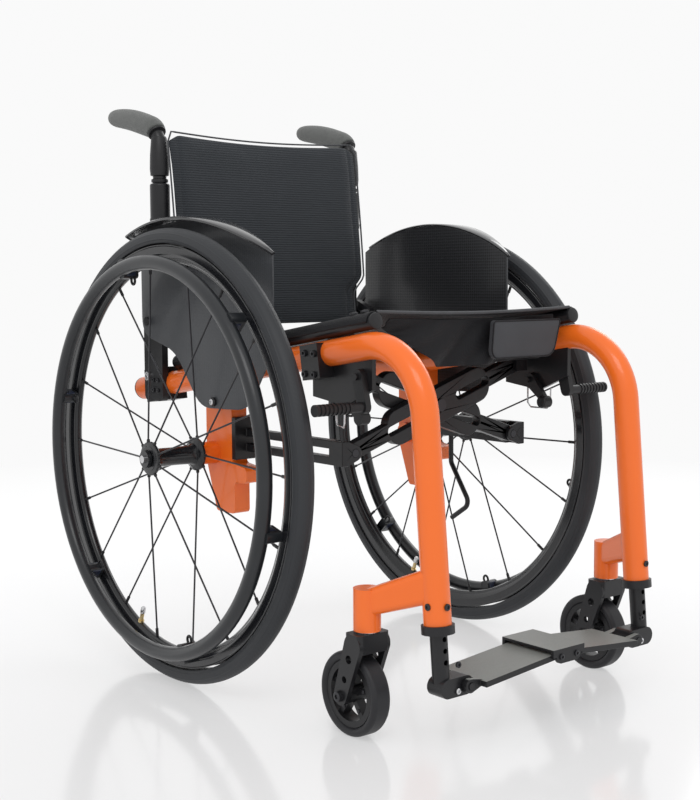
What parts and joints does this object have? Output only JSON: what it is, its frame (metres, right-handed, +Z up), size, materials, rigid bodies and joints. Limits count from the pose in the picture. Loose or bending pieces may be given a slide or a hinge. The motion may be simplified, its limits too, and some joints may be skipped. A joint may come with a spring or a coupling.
{
  "type": "folding manual wheelchair",
  "caption": "Lightweight folding manual wheelchair with a bent tube frame, cross brace, sling seat, spoked push wheels, casters and a hinged footplate.",
  "frame": {"origin": "on the floor, in the middle of the chair's footprint", "axes": "+Z up, the chair faces -Y, +X is the chair's left"},
  "size_m": [0.5926, 0.7614, 0.7774],
  "materials": {
    "frame_paint": "gloss bright orange paint",
    "black_fittings": "satin",
    "black_anodised": "satin black",
    "grip_foam": "soft matt foam",
    "carbon_guard": "gloss over a fine weave",
    "black_plastic": "satin",
    "tyre_rubber": "matt",
    "black_spokes": "satin black",
    "handrim_black": "semi gloss black",
    "axle_steel": "brushed",
    "caster_rubber": "matt",
    "footplate_grey": "fine grained",
    "seat_fabric": "woven, matt",
    "back_fabric": "ribbed spacer knit"
  },
  "bodies": {
    "left_frame": {"left_frame_tube": "frame_paint", "left_frame_fittings": "black_fittings", "left_axle_post": "frame_paint", "left_footrest_tube": "black_anodised", "left_back_bracket": "black_anodised", "left_side_guard": "carbon_guard", "left_lock_clamp": "black_anodised", "left_axle_pin": "axle_steel", "left_brace_bracket": "black_anodised", "tip_lever": "black_anodised"},
    "left_wheel": {"left_rim": "black_anodised", "left_tyre": "tyre_rubber", "left_hub": "black_anodised", "left_spokes": "black_spokes", "left_handrim": "handrim_black"},
    "left_axle_button": {"left_axle_button": "black_plastic"},
    "left_caster_fork": {"left_caster_fork": "black_anodised", "left_caster_axle": "axle_steel"},
    "left_caster_wheel": {"left_caster_wheel": "black_plastic", "left_caster_tyre": "caster_rubber"},
    "left_back": {"left_cane": "black_anodised", "left_grip": "grip_foam"},
    "left_lock_lever": {"left_lock_lever": "black_plastic"},
    "left_lock_shoe": {"left_lock_shoe": "black_plastic"},
    "left_cross_arm": {"left_cross_arm": "black_anodised", "left_brace_pins": "axle_steel"},
    "left_seat_rail": {"left_seat_rail": "black_anodised"},
    "left_footplate": {"left_footplate": "footplate_grey"},
    "right_frame": {"right_frame_tube": "frame_paint", "right_frame_fittings": "black_fittings", "right_axle_post": "frame_paint", "right_footrest_tube": "black_anodised", "right_back_bracket": "black_anodised", "right_side_guard": "carbon_guard", "right_lock_clamp": "black_anodised", "right_axle_pin": "axle_steel", "right_brace_bracket": "black_anodised"},
    "right_wheel": {"right_rim": "black_anodised", "right_tyre": "tyre_rubber", "right_hub": "black_anodised", "right_spokes": "black_spokes", "right_handrim": "handrim_black"},
    "right_axle_button": {"right_axle_button": "black_plastic"},
    "right_caster_fork": {"right_caster_fork": "black_anodised", "right_caster_axle": "axle_steel"},
    "right_caster_wheel": {"right_caster_wheel": "black_plastic", "right_caster_tyre": "caster_rubber"},
    "right_back": {"right_cane": "black_anodised", "right_grip": "grip_foam", "back_sling": "back_fabric"},
    "right_lock_lever": {"right_lock_lever": "black_plastic"},
    "right_lock_shoe": {"right_lock_shoe": "black_plastic"},
    "right_cross_arm": {"right_cross_arm": "black_anodised", "right_brace_pins": "axle_steel"},
    "right_seat_rail": {"right_seat_rail": "black_anodised", "seat_sling": "seat_fabric", "seat_pouch": "seat_fabric"},
    "right_footplate": {"right_footplate": "footplate_grey"},
    "foot_link": {"foot_link": "black_anodised"}
  },
  "joints": [
    {"name": "fold", "type": "hinge", "parent": "right_frame", "child": "right_cross_arm", "pos_m": [-0.146, -0.15328, 0.316], "axis": [0, -1, 0], "range_deg": [0, 58], "deforming": ["seat_sling", "seat_pouch", "back_sling"]},
    {"name": "fold_centre", "type": "hinge", "parent": "right_cross_arm", "child": "left_cross_arm", "pos_m": [0, -0.14528, 0.365], "axis": [0, -1, 0], "range_deg": [-116, 0]},
    {"name": "fold_left_frame", "type": "hinge", "parent": "left_cross_arm", "child": "left_frame", "pos_m": [0.146, -0.13728, 0.316], "axis": [0, -1, 0], "range_deg": [0, 58]},
    {"name": "fold_right_rail", "type": "hinge", "parent": "left_cross_arm", "child": "right_seat_rail", "pos_m": [-0.146, -0.13728, 0.414], "axis": [0, -1, 0], "range_deg": [0, 58]},
    {"name": "fold_left_rail", "type": "hinge", "parent": "right_cross_arm", "child": "left_seat_rail", "pos_m": [0.146, -0.15328, 0.414], "axis": [0, -1, 0], "range_deg": [-58, 0]},
    {"name": "right_footplate_fold", "type": "hinge", "parent": "right_frame", "child": "right_footplate", "pos_m": [-0.146, -0.34642, 0.074], "axis": [0, -1, 0], "range_deg": [0, 75.01]},
    {"name": "foot_link_fold", "type": "hinge", "parent": "right_footplate", "child": "foot_link", "pos_m": [-0.013, -0.33942, 0.086], "axis": [0, -1, 0], "range_deg": [-75.01, 0]},
    {"name": "left_footplate_fold", "type": "hinge", "parent": "left_frame", "child": "left_footplate", "pos_m": [0.146, -0.34642, 0.074], "axis": [0, -1, 0], "range_deg": [-75.01, 0]},
    {"name": "left_wheel_spin", "type": "hinge", "parent": "left_frame", "child": "left_wheel", "pos_m": [0.252, 0.08372, 0.297], "axis": [1, 0, 0], "continuous": true},
    {"name": "left_axle_button_press", "type": "slide", "parent": "left_frame", "child": "left_axle_button", "axis": [-1, 0, 0], "range_m": [0, 0.003], "stiffness_N_per_m": 400},
    {"name": "left_caster_swivel", "type": "hinge", "parent": "left_frame", "child": "left_caster_fork", "pos_m": [0.209, -0.26128, 0.128], "axis": [0, 0, 1], "continuous": true},
    {"name": "left_caster_spin", "type": "hinge", "parent": "left_caster_fork", "child": "left_caster_wheel", "pos_m": [0.209, -0.23928, 0.05], "axis": [1, 0, 0], "continuous": true},
    {"name": "left_back_fold", "type": "hinge", "parent": "left_frame", "child": "left_back", "pos_m": [0.173, 0.22972, 0.479], "axis": [1, 0, 0], "range_deg": [0, 90]},
    {"name": "left_lock_lever_turn", "type": "hinge", "parent": "left_frame", "child": "left_lock_lever", "pos_m": [0.173, -0.16628, 0.38999], "axis": [1, 0, 0], "range_deg": [0, 80]},
    {"name": "left_lock_shoe_turn", "type": "hinge", "parent": "left_frame", "child": "left_lock_shoe", "pos_m": [0.173, -0.21028, 0.41301], "axis": [1, 0, 0], "range_deg": [0, 14.7]},
    {"name": "right_wheel_spin", "type": "hinge", "parent": "right_frame", "child": "right_wheel", "pos_m": [-0.252, 0.08372, 0.297], "axis": [1, 0, 0], "continuous": true},
    {"name": "right_axle_button_press", "type": "slide", "parent": "right_frame", "child": "right_axle_button", "axis": [1, 0, 0], "range_m": [0, 0.003], "stiffness_N_per_m": 400},
    {"name": "right_caster_swivel", "type": "hinge", "parent": "right_frame", "child": "right_caster_fork", "pos_m": [-0.209, -0.26128, 0.128], "axis": [0, 0, 1], "continuous": true},
    {"name": "right_caster_spin", "type": "hinge", "parent": "right_caster_fork", "child": "right_caster_wheel", "pos_m": [-0.209, -0.23928, 0.05], "axis": [1, 0, 0], "continuous": true},
    {"name": "right_back_fold", "type": "hinge", "parent": "right_frame", "child": "right_back", "pos_m": [-0.173, 0.22972, 0.479], "axis": [1, 0, 0], "range_deg": [0, 90]},
    {"name": "right_lock_lever_turn", "type": "hinge", "parent": "right_frame", "child": "right_lock_lever", "pos_m": [-0.173, -0.16628, 0.38999], "axis": [1, 0, 0], "range_deg": [0, 80]},
    {"name": "right_lock_shoe_turn", "type": "hinge", "parent": "right_frame", "child": "right_lock_shoe", "pos_m": [-0.173, -0.21028, 0.41301], "axis": [1, 0, 0], "range_deg": [0, 14.7]}
  ],
  "couplings": [
    {"joint": "fold_centre", "follows": "fold", "ratio": -2},
    {"joint": "fold_left_frame", "follows": "fold", "ratio": 1},
    {"joint": "fold_right_rail", "follows": "fold", "ratio": 1},
    {"joint": "fold_left_rail", "follows": "fold", "ratio": -1},
    {"joint": "right_footplate_fold", "follows": "fold", "ratio": 1.2932},
    {"joint": "foot_link_fold", "follows": "fold", "ratio": -1.2932},
    {"joint": "left_footplate_fold", "follows": "fold", "ratio": -1.2932},
    {"joint": "left_lock_shoe_turn", "follows": "left_lock_lever_turn", "ratio": 0.18375},
    {"joint": "right_lock_shoe_turn", "follows": "right_lock_lever_turn", "ratio": 0.18375},
    {"joint": "left_back_fold", "follows": "right_back_fold", "ratio": 1}
  ]
}
